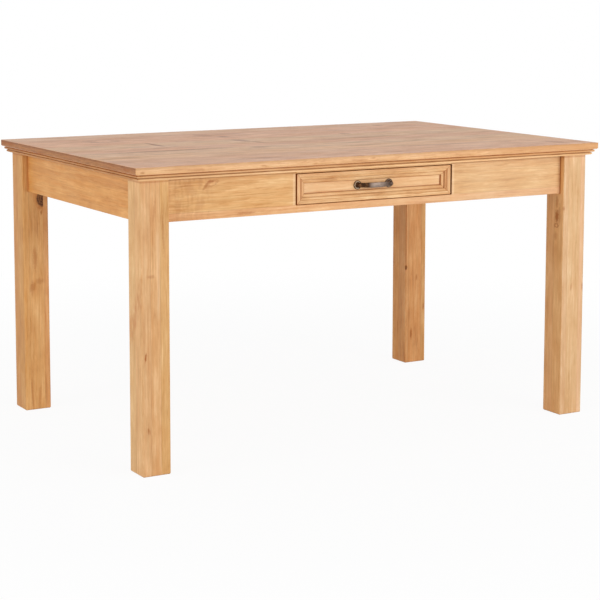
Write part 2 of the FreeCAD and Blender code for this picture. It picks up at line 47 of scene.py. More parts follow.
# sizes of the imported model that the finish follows
SLAB_TOP = 760.0
SLAB_END = -700.0         # left end of the slab
SLAB_FRONT = -450.0
LEG_OUT = (676.0, 426.0)  # outer and inner faces of the legs, in X and Y
LEG_IN = (601.0, 351.0)
LEG_TOP = 742.0
LEG_JOINT = 388.5         # glue joint between the front and back halves of a leg
APRON_FRONT = -408.0
APRON_FACES = (658.0, 408.0)
APRON_FOOT = 620.0
FRONT_MIDDLE = 679.1      # height of the middle of the drawer front
FRONT_HALF = (234.7, 38.6)
PANEL_FACE = -395.0
MEMBER_WIDTH = 25.0       # of the drawer front's frame, up to the panel
HANDLE_HALF = 48.0        # from the middle of the drawer to the middle of each plate
CORNERS = {"front_left": (-1, -1), "front_right": (1, -1),
           "back_left": (-1, 1), "back_right": (1, 1)}


# ---------------- shader building
def srgb(red, green, blue):
    """Linear colour, with an alpha of 1, from 8-bit display values."""
    def linear(level):
        share = level / 255.0
        return share / 12.92 if share <= 0.04045 else ((share + 0.055) / 1.055) ** 2.4
    return (linear(red), linear(green), linear(blue), 1.0)


class Value:
    """A number that varies over a surface; arithmetic on it adds Math nodes."""

    def __init__(self, graph, socket):
        self.graph = graph
        self.socket = socket

    def math(self, operation, *others):
        return self.graph.math(operation, self, *others)

    def __add__(self, other):
        return self.math("ADD", other)

    def __sub__(self, other):
        return self.math("SUBTRACT", other)

    def __rsub__(self, other):
        return self.graph.math("SUBTRACT", other, self)

    def __mul__(self, other):
        return self.math("MULTIPLY", other)

    def __truediv__(self, other):
        return self.math("DIVIDE", other)

    def __rtruediv__(self, other):
        return self.graph.math("DIVIDE", other, self)

    def __pow__(self, other):
        return self.math("POWER", other)

    def __abs__(self):
        return self.math("ABSOLUTE")

    __radd__ = __add__
    __rmul__ = __mul__

    def root(self):
        return self.math("SQRT")

    def fraction(self):
        return self.math("FRACT")

    def whole(self):
        return self.math("FLOOR")

    def above(self, limit):
        return self.math("GREATER_THAN", limit)

    def smooth(self, start, end):
        """Rises smoothly from 0 at start to 1 at end, or falls where end is the smaller."""
        settings = {"interpolation_type": "SMOOTHSTEP"}
        inputs = {"Value": self, "From Min": min(start, end), "From Max": max(start, end)}
        rise = Value(self.graph, self.graph.node("MapRange", inputs, **settings).outputs[0])
        return rise if end > start else 1.0 - rise


class Graph:
    """One material, built as nested calls that each add a node."""

    def __init__(self, name):
        self.material = bpy.data.materials.new(name)
        self.material.use_nodes = True
        self.tree = self.material.node_tree
        self.surface = self.tree.nodes["Principled BSDF"]

    def feed(self, socket, value):
        """Links a Value or socket to an input, or sets the input to a plain number."""
        if isinstance(value, Value):
            value = value.socket
        if isinstance(value, bpy.types.NodeSocket):
            self.tree.links.new(value, socket)
        else:
            socket.default_value = value

    def node(self, kind, inputs, **settings):
        """Adds a shader node; inputs are fed, settings are its own properties."""
        node = self.tree.nodes.new("ShaderNode" + kind)
        for key, setting in settings.items():
            setattr(node, key, setting)
        for key, value in inputs.items():
            self.feed(node.inputs[key], value)
        return node

    def math(self, operation, *values):
        node = self.node("Math", dict(enumerate(values)), operation=operation)
        return Value(self, node.outputs[0])

    def place(self, turn=0.0):
        """Position on the object in millimetres, turned about Z, as three values."""
        source = self.tree.nodes.new("ShaderNodeTexCoord").outputs["Object"]
        if turn:
            source = self.node("VectorRotate", {"Vector": source, "Angle": turn},
                               rotation_type="Z_AXIS").outputs[0]
        split = self.node("SeparateXYZ", {0: source})
        return [Value(self, split.outputs[axis]) * (1.0 / MM) for axis in range(3)]

    def facing(self, axis):
        """1 where the surface faces along an axis of the object, either way."""
        source = self.tree.nodes.new("ShaderNodeTexCoord").outputs["Normal"]
        split = self.node("SeparateXYZ", {0: source})
        return abs(Value(self, split.outputs["xyz".index(axis)]))

    def vector(self, parts):
        return self.node("CombineXYZ", dict(enumerate(parts))).outputs[0]

    def noise(self, parts, detail=2.0, roughness=0.5):
        """Smooth noise, mostly from 0.3 to 0.7, at a point given as three parts."""
        inputs = {"Vector": self.vector(parts), "Scale": 1.0, "Detail": detail,
                  "Roughness": roughness}
        return Value(self, self.node("TexNoise", inputs).outputs["Fac"])

    def random(self, key):
        """Three unrelated numbers from 0 to 1 that change with a whole number."""
        noise = self.node("TexWhiteNoise", {"W": key}, noise_dimensions="1D")
        split = self.node("SeparateColor", {0: noise.outputs["Color"]})
        return [Value(self, split.outputs[part]) for part in range(3)]

    def mix(self, first, second, share, kind="MIX"):
        """Blends two colours; the Mix node's colour sockets are found by their places."""
        node = self.node("Mix", {0: share}, data_type="RGBA", blend_type=kind, clamp_factor=True)
        self.feed(node.inputs[6], first)
        self.feed(node.inputs[7], second)
        return node.outputs[2]

    def finish(self, colour, roughness, height, **constants):
        """Feeds the shader; height is in millimetres, and constants are set on its sockets."""
        self.feed(self.surface.inputs["Base Color"], colour)
        self.feed(self.surface.inputs["Roughness"], roughness)
        if height is not None:
            inputs = {"Height": height, "Distance": MM, "Strength": 1.0}
            self.feed(self.surface.inputs["Normal"], self.node("Bump", inputs).outputs[0])
        for name, value in constants.items():
            self.surface.inputs[name.replace("_", " ")].default_value = value
        return self.material


def band(value, low, high, soft):
    """1 between low and high, fading to 0 over a soft edge on either side."""
    return value.smooth(low - soft, low) * value.smooth(high + soft, high)


# ---------------- pine
# knots, glue lines and short fibres
KNOT_CORE = srgb(136, 86, 38)
KNOT_RIM = srgb(70, 35, 12)
KNOT_HALO = srgb(190, 116, 54)
GLUE_LINE = srgb(158, 98, 50)
FLECK = srgb(160, 98, 48)
# strokes on the boards, and a stain that also paints shade in quirks, corners and under the
# moulding
MARK = srgb(162, 88, 26)
STAIN_AND_SHADE = srgb(160, 84, 20)
# painted shade in reveals and on the faces round the drawer's gaps
REVEAL_SHADE = srgb(188, 112, 48)
# painted shade in the drawer's deepest gap
GAP_SHADE = srgb(62, 18, 0)
# paler and browner patches of face grain; the pale one also paints a highlight beside the drawer
# opening
PALE = srgb(245, 214, 174)
PINKISH = srgb(238, 182, 140)
DUN = srgb(208, 190, 168)
# painted highlight
PAINTED_HIGHLIGHT = srgb(255, 214, 158)
# painted shade on the slab's upper arris
ARRIS_SHADE = srgb(198, 151, 103)
# brown edge wood; also painted shade on the front moulding's upper bead
EDGE_BROWN = srgb(198, 138, 82)
# sawn ends of boards
END_PALE = srgb(170, 108, 62)
END_DARK = srgb(118, 62, 28)
WILD_SPACING = 150.0      # across the grain between places where a small knot may lie
OFF_STRIP = 50.0          # knot radii added outside a knot's own strip
NO_KNOT = 100.0           # knot radii added where a place holds no small knot

# pale, middle and deep colour of each kind of surface
LOOKS = {
    "top": (srgb(246, 194, 148), srgb(226, 167, 117), srgb(182, 120, 72)),
    "edge": (srgb(240, 197, 146), srgb(225, 177, 122), srgb(188, 130, 78)),
    "bead": (srgb(236, 200, 156), srgb(223, 179, 130), srgb(186, 132, 80)),
    "apron": (srgb(239, 196, 144), srgb(224, 172, 117), srgb(194, 132, 75)),
    # the next two are darker, browner copies of apron and bead, painted shade for the table's left
    # side
    "side": (srgb(235, 177, 112), srgb(221, 158, 92), srgb(190, 123, 62)),
    "side_bead": (srgb(214, 158, 106), srgb(194, 138, 88), srgb(156, 96, 52)),
    "leg": (srgb(235, 192, 139), srgb(217, 168, 111), srgb(190, 132, 74)),
    "pale_leg": (srgb(228, 192, 152), srgb(213, 171, 128), srgb(190, 142, 94)),
    "dark_leg": (srgb(230, 180, 122), srgb(213, 156, 95), srgb(180, 116, 60)),
    "panel": (srgb(242, 206, 157), srgb(231, 189, 137), srgb(210, 158, 102)),
    "rail": (srgb(236, 196, 149), srgb(221, 173, 124), srgb(188, 131, 84)),
    "stile": (srgb(236, 192, 141), srgb(224, 171, 119), srgb(196, 135, 82)),
    "raw": (srgb(240, 214, 170), srgb(226, 194, 144), srgb(202, 160, 106)),
}


def strips(across, joints):
    """Number of the glued strip at a point, and nearness to a glue line."""
    number = across * 0.0
    line = across * 0.0
    for joint in joints:
        number = number + across.above(joint)
        line = line.math("MAXIMUM", abs(across - joint).smooth(0.8, 0.2))
    return number, line


def knot_distance(point, knots):
    """Distance to the nearest knot in knot radii.

    A knot is (centre, radius, stretch, low, high): its strip lies from low to high across.
    """
    nearest = None
    for centre, radius, stretch, low, high in knots:
        reach = (radius * stretch, radius, radius)
        squares = [((value - middle) / size) ** 2.0
                   for value, middle, size in zip(point, centre, reach)]
        outside = point[1].above(high) + (1.0 - point[1].above(low))
        distance = (squares[0] + squares[1] + squares[2]).root() + outside * OFF_STRIP
        nearest = distance if nearest is None else nearest.math("MINIMUM", distance)
    return nearest


def wild_knots(graph, point, seed, share):
    """Distance in knot radii to small knots scattered through the wood.

    share is how many of the scattered places hold a knot.
    """
    parts = [point[0] / (WILD_SPACING * 2.0) + seed, point[1] / WILD_SPACING,
             point[2] / WILD_SPACING + seed * 0.37]
    cells = graph.node("TexVoronoi", {"Vector": graph.vector(parts), "Scale": 1.0})
    chance = graph.node("SeparateColor", {0: cells.outputs["Color"]})
    absent = Value(graph, chance.outputs[0]).above(share)
    radius = Value(graph, chance.outputs[1]) * 3.5 + 2.5
    return Value(graph, cells.outputs["Distance"]) * WILD_SPACING / radius + absent * NO_KNOT


def marks(graph, point, places):
    """Soft darker strokes.

    A place is (centre, half sizes along, across and through, slant, strength, hollow):
    hollow is 0 for a filled stroke and 1 for a ring.
    """
    rough = graph.noise([value / 6.0 for value in point], 3.0, 0.6) - 0.5
    darkest = None
    for centre, sizes, slant, strength, hollow in places:
        parts = [value - middle for value, middle in zip(point, centre)]
        parts[1] = parts[1] - parts[0] * slant
        squares = [(part / size) ** 2.0 for part, size in zip(parts, sizes)]
        spread = (squares[0] + squares[1] + squares[2]).root() + rough * 1.1
        shade = abs(spread - 0.75).smooth(0.4, 0.1) if hollow else spread.smooth(1.1, 0.3)
        shade = shade * strength
        darkest = shade if darkest is None else darkest.math("MAXIMUM", shade)
    return darkest


ALONG, ACROSS, THROUGH = range(3)


def on_face(axis, level, rows, depth=5.0):
    """Places for marks on the face of a board that lies at one level along, across or through.

    A row is the middle and the half sizes in the other two directions, the strength, and
    where they aren't 0 the slant and hollow. depth is how far into the wood marks reach.
    """
    def place(u, v, half_u, half_v, strength, slant=0.0, hollow=0):
        centre, sizes = [u, v], [half_u, half_v]
        centre.insert(axis, level)
        sizes.insert(axis, depth)
        return centre, sizes, slant, strength, hollow

    return [place(*row) for row in rows]


def growth(graph, point, strip, pith, ring, swirl):
    """Late wood from 0 to 1: lines round a pith that wanders along the grain."""
    along, across, through = point
    offset, slope, width = graph.random(strip)
    wander = graph.noise([along / 380.0, strip * 3.1, 0.0], 2.0) - 0.5
    wobble = graph.noise([along / 60.0, across / 13.0, through / 13.0 + strip], 2.0) - 0.5
    aside = across - pith[0] + (offset - 0.5) * pith[2] + wander * 30.0
    below = through - pith[1] + along * ((slope - 0.5) * 0.06)
    radius = (aside ** 2.0 + below ** 2.0).root()
    rings = radius / ((width * 0.5 + 0.75) * ring) + wobble * 0.8 + swirl
    phase = rings.fraction()
    year = graph.random(rings.whole() + strip)[0]
    return phase.smooth(0.3, 0.93) * phase.smooth(1.0, 0.94) * (year * 0.7 + 0.3)


def with_knots(graph, colour, distance, ragged):
    """Adds the halo, ringed core and dark rim of knots; also gives the rim, from 0 to 1."""
    colour = graph.mix(colour, KNOT_HALO, distance.smooth(1.9, 1.0) * 0.55)
    core_rings = abs((distance * 3.5 + ragged).fraction() - 0.5)
    core = graph.mix(KNOT_CORE, KNOT_RIM, (core_rings * 1.1 + ragged).smooth(0.1, 0.6))
    colour = graph.mix(colour, core, distance.smooth(1.06, 0.94))
    rim = distance.smooth(1.2, 1.02) * distance.smooth(0.78, 0.95)
    return graph.mix(colour, KNOT_RIM, rim * (ragged + 0.5)), rim


def pine(name, axes, look, seed, joints=(), cross_joints=(), knots=(), places=(),
         pith=(0.0, 0.0, 60.0), ring=8.0, figure=1.0, wild=0.12, turn=0.0, gloss=0.48,
         contrast=1.1, cloudy=0.36, wave=3.0, warm=1.0, top_look=None, side_light=None,
         details=None, matt=None, specular=0.25):
    """Oiled pine glued up from strips, each from its own log.

    axes names the directions along the grain, across the board and through it. joints lie
    across, cross_joints through. knots are for knot_distance and places for marks.
    pith is where the log's middle lies, across and through, and how far that varies by
    strip; ring is the width of a year, figure how strongly the years show, and wild the
    chance of small knots. turn is the board's angle about Z, and gloss its roughness.
    cloudy is the share of soft patches in the figure, against fine grain. wave is how far
    the grain swings aside, in millimetres, and warm how much its hue varies.
    top_look colours the faces along Z, and the faces along X are tinted by given factors: painted
    light and shade on those sides.
    details(graph, colour, x, y, z) adds what one place of the part needs, and
    matt(x, y, z) is 1 where the wood is bare and dull.
    """
    graph = Graph(name)
    xyz = dict(zip("xyz", graph.place(turn)))
    point = [xyz[axis] for axis in axes]
    along, across, through = point
    number, line = strips(across, joints)
    cross_number, cross_line = strips(through, cross_joints)
    strip = number + cross_number * 7.0 + seed * 13.0
    line = line.math("MAXIMUM", cross_line)
    hue, tone, fade = graph.random(strip + 0.5)

    distance = wild_knots(graph, point, seed, wild)
    if knots:
        distance = distance.math("MINIMUM", knot_distance(point, knots))
    ragged = graph.noise([along / 7.0, across / 5.0, through / 5.0], 2.0) - 0.5
    distance = distance * (ragged * 0.5 + 1.0)
    swirl = 3.0 / ((distance / 2.2) ** 2.0 + 1.0)

    late = growth(graph, point, strip, pith, ring, swirl)
    seen = graph.noise([along / 160.0, across / 34.0, through / 34.0 + strip], 1.0)
    late = late * (seen.smooth(0.32, 0.66) * 0.8 + 0.2) * figure
    swing = graph.noise([along / 60.0, across / 26.0, through / 26.0 + strip], 2.0) - 0.5
    bend = swing * wave * 2.0
    side, depth = across + bend, through + bend
    cloud = graph.noise([along / 95.0, side / 34.0, depth / 34.0 + strip], 3.0, 0.55)
    streak = graph.noise([along / 150.0, side / 6.5, depth / 6.5 + strip], 4.0, 0.6)
    fleck = graph.noise([along / 17.0, side / 5.5, depth / 5.5 + strip], 3.0, 0.6)
    grain = graph.noise([along / 120.0, side / 2.6, depth / 2.6 + strip], 3.0, 0.6)
    warmth = graph.noise([along / 100.0, side / 9.0, depth / 9.0 + 31.0], 3.0, 0.6) - 0.5
    fibre = graph.noise([along / 24.0, side / 0.9, depth / 0.9], 3.0, 0.65)
    dashes = graph.noise([along / 7.0, side / 0.6, depth / 0.6 + 50.0], 1.0).smooth(0.7, 0.8)

    shades = LOOKS[look]
    if top_look:
        flat = graph.facing("z").smooth(0.5, 0.85)
        shades = [graph.mix(edge, face, flat) for edge, face in zip(shades, LOOKS[top_look])]
    pale, middle, deep = shades
    mottle = cloud * cloudy + streak * 0.3 + fleck * 0.1 + grain * (0.6 - cloudy)
    mottle = (mottle - 0.5) * contrast + 0.5
    colour = graph.mix(pale, middle, mottle.smooth(0.34, 0.52))
    for share in (mottle.smooth(0.49, 0.7) * 0.9, late * 0.45,
                  grain.smooth(0.54, 0.78) * 0.4 * contrast, fibre.smooth(0.52, 0.9) * 0.35):
        colour = graph.mix(colour, deep, share)
    colour = graph.mix(colour, FLECK, dashes * 0.22)
    colour = graph.node("HueSaturation", {
        "Hue": (hue - 0.5) * 0.01 + 0.5 - warmth * (0.014 * warm),
        "Saturation": tone * 0.08 + 0.96 + warmth * (0.14 * warm),
        "Value": (fade - 0.5) * 0.06 + 1.0,
        "Color": colour,
    }).outputs[0]
    end = graph.facing(axes[0]).smooth(0.6, 0.9)
    layers = graph.noise([along, across / 45.0, through / 3.6], 4.0, 0.6)
    sawn = graph.mix(END_PALE, END_DARK, layers.smooth(0.38, 0.66) * 0.75 + late * 0.25)
    colour = graph.mix(colour, sawn, end * 0.85)
    # painted light and shade on the faces along X
    if side_light:
        on_sides = graph.facing("x").smooth(0.6, 0.9)
        colour = graph.mix(colour, side_light + (1.0,), on_sides, "MULTIPLY")
    if places:
        colour = graph.mix(colour, MARK, marks(graph, point, places))
    colour, rim = with_knots(graph, colour, distance, ragged)
    colour = graph.mix(colour, GLUE_LINE, line * 0.4)
    if details:
        colour = details(graph, colour, xyz["x"], xyz["y"], xyz["z"])

    patch = graph.noise([along / 140.0, across / 60.0, through / 60.0], 2.0)
    roughness = (patch - 0.5) * 0.16 + gloss + late * 0.05 + end * 0.12
    if matt:
        roughness = roughness + matt(xyz["x"], xyz["y"], xyz["z"]) * 0.5
    height = fibre * 0.03 - dashes * 0.03 + late * 0.025 - line * 0.04 - rim * 0.06
    return graph.finish(colour, roughness, height, Specular_IOR_Level=specular)


# ---------------- finish of single parts
def strongest(first, *others):
    """Greatest of several shares."""
    for other in others:
        first = first.math("MAXIMUM", other)
    return first


def slab_edge(graph, colour, x, y, z):
    """The slab's edge: painted shade on its upper arris, browner to the right, and a painted
    highlight where it turns under.
    """
    upright = graph.facing("z").smooth(0.85, 0.5)
    patch = graph.noise([x / 40.0, y / 40.0, 0.0], 2.0).smooth(0.3, 0.65)
    ends = graph.facing("x").smooth(0.6, 0.9)
    # painted shade on the upper arris, darker on the slab's ends
    arris = z.smooth(SLAB_TOP - 7.5, SLAB_TOP - 2.5) * upright
    colour = graph.mix(colour, ARRIS_SHADE, arris * (patch * 0.4 + 0.5) * (1.0 - ends))
    colour = graph.mix(colour, END_DARK, arris * ends * 0.5)
    # painted highlight where the front edge turns under
    at_front = y.smooth(SLAB_FRONT + 10.0, SLAB_FRONT + 6.0)
    inside_end = x.smooth(SLAB_END + 4.0, SLAB_END + 8.0)
    turned_under = z.smooth(SLAB_TOP - 13.0, SLAB_TOP - 16.5) * at_front * inside_end
    colour = graph.mix(colour, PAINTED_HIGHLIGHT, turned_under * 0.35)
    return graph.mix(colour, EDGE_BROWN, upright * (x.smooth(100.0, 640.0) * 0.45 + 0.1))


def foot_light(x):
    """How strongly the painted highlight shows along the table on the front moulding's foot and the
    wood under it.
    """
    return x.smooth(-560.0, -160.0) * 0.35 * x.smooth(640.0, 300.0) + 0.3


def moulding_lines(graph, colour, x, y, z):
    """Painted shade in the two quirks; on the front's moulding, painted shade on the upper bead and
    a painted highlight on the foot.
    """
    patch = graph.noise([x / 60.0, y / 60.0, z / 9.0], 2.0).smooth(0.35, 0.65)
    # painted shade in the two quirks
    line = strongest(*[abs(z - quirk).smooth(1.9, 0.8) for quirk in (739.6, 732.6)])
    at_front = y.smooth(APRON_FRONT + 3.0, APRON_FRONT)
    # painted highlight on the front's foot and painted shade on its upper bead
    foot = z.smooth(730.4, 729.2) * at_front * foot_light(x)
    upper = z.smooth(732.8, 734.2) * at_front
    colour = graph.mix(colour, EDGE_BROWN, upper * (x.smooth(-500.0, 300.0) * 0.2 + 0.25))
    colour = graph.mix(colour, PAINTED_HIGHLIGHT, foot)
    return graph.mix(colour, STAIN_AND_SHADE, line * (patch * 0.3 + 0.3))


def frame_insets(x, z):
    """Distance inward from the side edges and from the long edges of the drawer front."""
    return FRONT_HALF[0] - abs(x), FRONT_HALF[1] - abs(z - FRONT_MIDDLE)


def in_side_gap(x, y, z):
    """1 on the faces that look into the gaps beside the drawer front."""
    return band(abs(x), FRONT_HALF[0] - 0.3, FRONT_HALF[0] + 4.1, 0.2)


def in_long_gap(x, y, z):
    """1 on the faces that look into the gaps above and below the drawer front."""
    return abs(z - FRONT_MIDDLE).smooth(FRONT_HALF[1] - 0.4, FRONT_HALF[1] - 0.1)


def stile_lines(graph, colour, x, y, z):
    """Painted shade in a stile's quirks, against the panel and on its outer edge by the gap, and
    the mitre lines.
    """
    from_side, from_rail = frame_insets(x, z)
    line = strongest(abs(from_side - 12.2).smooth(2.0, 0.8) * 0.85,
                     abs(from_side - 16.8).smooth(1.3, 0.5) * 0.95,
                     from_side.smooth(MEMBER_WIDTH - 0.8, MEMBER_WIDTH) * 0.9,
                     abs(from_side - from_rail).smooth(0.9, 0.25) * 0.8)
    colour = graph.mix(colour, STAIN_AND_SHADE, line)
    return graph.mix(colour, REVEAL_SHADE, from_side.smooth(0.9, 0.1) * 0.85)


def rail_lines(graph, colour, x, y, z):
    """Fainter painted shade in a rail's quirk, painted shade in its corner at the panel and on its
    outer edge, and the mitres.
    """
    from_side, from_rail = frame_insets(x, z)
    line = strongest(abs(from_rail - 16.6).smooth(1.3, 0.5) * 0.35,
                     from_rail.smooth(MEMBER_WIDTH - 0.8, MEMBER_WIDTH) * 0.75,
                     abs(from_side - from_rail).smooth(0.9, 0.25) * 0.8)
    colour = graph.mix(colour, STAIN_AND_SHADE, line)
    return graph.mix(colour, REVEAL_SHADE, from_rail.smooth(1.2, 0.4) * 0.6)


def panel_lines(graph, colour, x, y, z):
    """Painted shade against the frame round the recessed panel."""
    from_side, from_rail = frame_insets(x, z)
    line = strongest(from_side.smooth(MEMBER_WIDTH + 3.4, MEMBER_WIDTH + 1.0) * 0.75,
                     from_rail.smooth(MEMBER_WIDTH + 1.9, MEMBER_WIDTH + 0.8) * 0.6)
    return graph.mix(colour, STAIN_AND_SHADE, line)


def apron_details(graph, colour, x, y, z):
    """The front apron: curly grain at the left, duller to the right, painted highlights and shade
    round the opening and under the moulding.
    """
    ripple = graph.noise([x / 90.0, z / 12.0, 0.0], 2.0)
    colour = graph.mix(colour, DUN, x.smooth(-200.0, 420.0) * (ripple * 0.18 + 0.1))
    curl = graph.noise([x / 11.0 + ripple, z / 45.0, 0.0], 1.0, 0.4).smooth(0.38, 0.66)
    colour = graph.mix(colour, STAIN_AND_SHADE, band(x, -590.0, -510.0, 50.0) * curl * 0.22)

    # painted highlight on the arrises beside the opening and painted shade in the side gaps
    beside = band(z, 640.0, 719.0, 1.0)
    colour = graph.mix(colour, PALE, band(abs(x), 240.5, 246.0, 2.0) * beside * 0.3)
    colour = graph.mix(colour, STAIN_AND_SHADE, band(abs(x), 230.0, 239.4, 0.7) * beside * 0.55)

    # painted highlight under the moulding and over the opening, a painted shadow line under the
    # moulding beside it, and painted shade on the opening's head, sill and right jamb
    over = abs(x).smooth(238.0, 236.0)
    colour = graph.mix(colour, PAINTED_HIGHLIGHT, z.smooth(722.6, 724.6) * foot_light(x) * 1.1)
    colour = graph.mix(colour, STAIN_AND_SHADE, band(z, 721.0, 723.0, 1.0) * (1.0 - over) * 0.4)
    colour = graph.mix(colour, PAINTED_HIGHLIGHT, z.smooth(719.0, 720.5) * over * 0.4)
    colour = graph.mix(colour, REVEAL_SHADE, over * band(z, 638.4, 720.6, 0.6) * 0.6)
    right_jamb_shade = graph.facing("x").smooth(0.6, 0.9) * band(x, 200.0, 280.0, 10.0)
    return graph.mix(colour, GAP_SHADE, right_jamb_shade)


def side_apron_details(graph, colour, x, y, z):
    """A browner wave along the left apron's grain, under its top."""
    wave = (y / 130.0).math("SINE") * 5.0
    return graph.mix(colour, STAIN_AND_SHADE, band(z + wave, 690.0, 699.0, 6.0) * 0.16)


def leg_reveals(graph, colour, x, y, z):
    """Painted shade on a leg under the moulding and in the corners where the aprons meet it."""
    colour = graph.mix(colour, STAIN_AND_SHADE, band(z, 721.0, 723.6, 1.2) * 0.35)
    high = z.smooth(APRON_FOOT - 3.0, APRON_FOOT + 1.0)
    side_face, front_face = APRON_FACES
    inner_x, inner_y = LEG_IN
    at_front = (band(abs(y), front_face - 1.0, front_face + 3.0, 3.0)
                * abs(x).smooth(inner_x + 2.0, inner_x + 0.5))
    at_side = (band(abs(x), side_face - 2.0, side_face + 4.0, 3.5)
               * abs(y).smooth(inner_y + 2.0, inner_y + 0.5))
    colour = graph.mix(colour, REVEAL_SHADE, at_side * high * 0.55)
    return graph.mix(colour, STAIN_AND_SHADE, at_front * high * 0.85)


def on_front(y):
    """1 on the front face of a front leg."""
    return y.smooth(2.0 - LEG_OUT[1], 0.5 - LEG_OUT[1])


def front_right_leg(graph, colour, x, y, z):
    """Its reveals, and the pinkish stripe down its front."""
    stripe = band(x, 660.0, 669.0, 3.0) * on_front(y)
    return leg_reveals(graph, graph.mix(colour, PINKISH, stripe * 0.25), x, y, z)


def front_left_leg(graph, colour, x, y, z):
    """Its reveals, a pale sappy streak on the front and a brown cloud on the outside."""
    wander = (graph.noise([z / 70.0, 0.0, 0.0], 2.0) - 0.5) * 8.0
    streak = band(x + wander, -634.0, -630.0, 3.0) * band(z, 430.0, 570.0, 60.0) * on_front(y)
    colour = graph.mix(colour, PALE, streak * 0.28)
    rough = graph.noise([x / 9.0, y / 9.0, z / 30.0], 3.0).smooth(0.3, 0.7)
    outside = x.smooth(2.0 - LEG_OUT[0], 0.5 - LEG_OUT[0])
    cloud = band(z + (y + 366.0) * 1.6, 340.0, 390.0, 28.0) * outside
    colour = graph.mix(colour, KNOT_HALO, cloud * rough * 0.6)
    return leg_reveals(graph, colour, x, y, z)


def back_right_leg(graph, colour, x, y, z):
    """Its reveals and the open glue line along its inner arris."""
    line = abs(x - (LEG_IN[0] + 1.5)).smooth(1.8, 0.4) * band(z, 310.0, 620.0, 15.0)
    return leg_reveals(graph, graph.mix(colour, STAIN_AND_SHADE, line * 0.7), x, y, z)


# ---------------- pieces made here
SHARP_EDGE = math.radians(36.0)


def add_piece(name, mesh, body, slot, material, *replaced, smooth=True):
    """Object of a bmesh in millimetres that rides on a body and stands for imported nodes.

    Without a body it is only an object to build with.
    """
    bmesh.ops.scale(mesh, vec=(MM, MM, MM), verts=mesh.verts)
    bmesh.ops.recalc_face_normals(mesh, faces=mesh.faces)
    data = bpy.data.meshes.new(name)
    mesh.to_mesh(data)
    mesh.free()
    if smooth:
        data.shade_smooth()
        data.set_sharp_from_angle(angle=SHARP_EDGE)
    data.materials.append(material)
    piece = bpy.data.objects.new(name, data)
    bpy.context.scene.collection.objects.link(piece)
    if body:
        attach(piece, body)
    if replaced:
        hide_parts(*replaced)
    return piece


def loft(mesh, rings, closed=True):
    """Skins rings of points, each the same number long; closed caps both ends."""
    made = [[mesh.verts.new(point) for point in ring] for ring in rings]
    for first, second in zip(made, made[1:]):
        for place in range(len(first)):
            following = (place + 1) % len(first)
            mesh.faces.new((first[place], first[following], second[following], second[place]))
    if closed:
        mesh.faces.new(made[0])
        mesh.faces.new(made[-1])
    return made


# ---------------- legs
LEG_ROUND = 3.0
LEG_FLAT = 20.0      # planed off the inner corner, along either face
LEG_CHAMFER = 2.0
FLAT_LOW = 623.0     # behind the aprons, which end at APRON_FOOT
ROUND_STEPS = 6


def leg_outline(sx, sy, inset):
    """Plan of a leg: from one end of its planed flat round to the other, then its inner corner."""
    def corner(u, v, start):
        turns = [math.radians(start + 90.0 * step / ROUND_STEPS)
                 for step in range(ROUND_STEPS + 1)]
        return [(u + (LEG_ROUND - inset) * math.cos(a), v + (LEG_ROUND - inset) * math.sin(a))
                for a in turns]

    (u1, v1), (u0, v0) = LEG_OUT, LEG_IN
    low_u, low_v, high_u, high_v = u0 + LEG_ROUND, v0 + LEG_ROUND, u1 - LEG_ROUND, v1 - LEG_ROUND
    plan = [(u0 + LEG_FLAT, v0 + inset)]
    plan += corner(high_u, low_v, -90.0) + corner(high_u, high_v, 0.0) + corner(low_u, high_v, 90.0)
    plan += [(u0 + inset, v0 + LEG_FLAT)]
    inner = corner(low_u, low_v, 180.0)
    return [(sx * u, sy * v) for u, v in plan], [(sx * u, sy * v) for u, v in inner]


def leg_post(sx, sy):
    """Square post with rounded arrises; behind the aprons its inner corner is planed flat."""
    mesh = bmesh.new()
    rings = []
    for inset, z in ((LEG_CHAMFER, 0.0), (0.0, LEG_CHAMFER), (0.0, FLAT_LOW)):
        plan, inner = leg_outline(sx, sy, inset)
        rings.append([(x, y, z) for x, y in plan + inner])
    foot, _, shoulder = loft(mesh, rings, closed=False)
    mesh.faces.new(foot)
    outer = shoulder[:len(plan)]
    mesh.faces.new(shoulder[len(plan) - 1:] + shoulder[:1])
    upper = [mesh.verts.new((x, y, LEG_TOP)) for x, y in plan]
    for place in range(len(outer)):
        following = (place + 1) % len(outer)
        mesh.faces.new((outer[place], outer[following], upper[following], upper[place]))
    mesh.faces.new(upper)
    return mesh


# ---------------- dressing with pine
def dress(material, *names):
    """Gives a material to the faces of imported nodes."""
    for name in names:
        slots = nodes[name].material_slots
        if not slots:
            nodes[name].data.materials.append(material)
        for held in slots:
            held.material = material


TOP_JOINTS = (-356.0, -262.0, -171.0, -78.0, 17.0, 139.0, 244.0, 348.0)
# marks are rows for on_face: on the slab's top they start with X and Y
TOP_MARKS = (
    (-395.0, 84.0, 12.0, 82.0, 0.95), (-126.0, 92.0, 25.0, 52.0, 0.78),
    (-108.0, 28.0, 14.0, 50.0, 0.52), (-112.0, 226.0, 19.0, 32.0, 0.78),
    (-142.0, 292.0, 35.0, 62.0, 0.45), (-60.0, 300.0, 80.0, 28.0, 0.39),
    (-508.0, 242.0, 20.0, 38.0, 0.52), (-472.0, 262.0, 55.0, 50.0, 0.39, 0.0, 1),
    (-176.0, -105.0, 35.0, 32.0, 0.52), (244.0, 144.0, 20.0, 30.0, 0.59),
    (220.0, 14.0, 58.0, 38.0, 0.39), (130.0, 8.0, 62.0, 25.0, 0.33),
    (95.0, -190.0, 75.0, 22.0, 0.39), (490.0, 350.0, 18.0, 32.0, 0.52),
    (612.0, -372.0, 32.0, 50.0, 0.45), (500.0, 44.0, 138.0, 11.0, 0.39),
    (280.0, -280.0, 162.0, 14.0, 0.39), (-320.0, -378.0, 100.0, 22.0, 0.39),
    (-440.0, -86.0, 230.0, 14.0, 0.9),
)
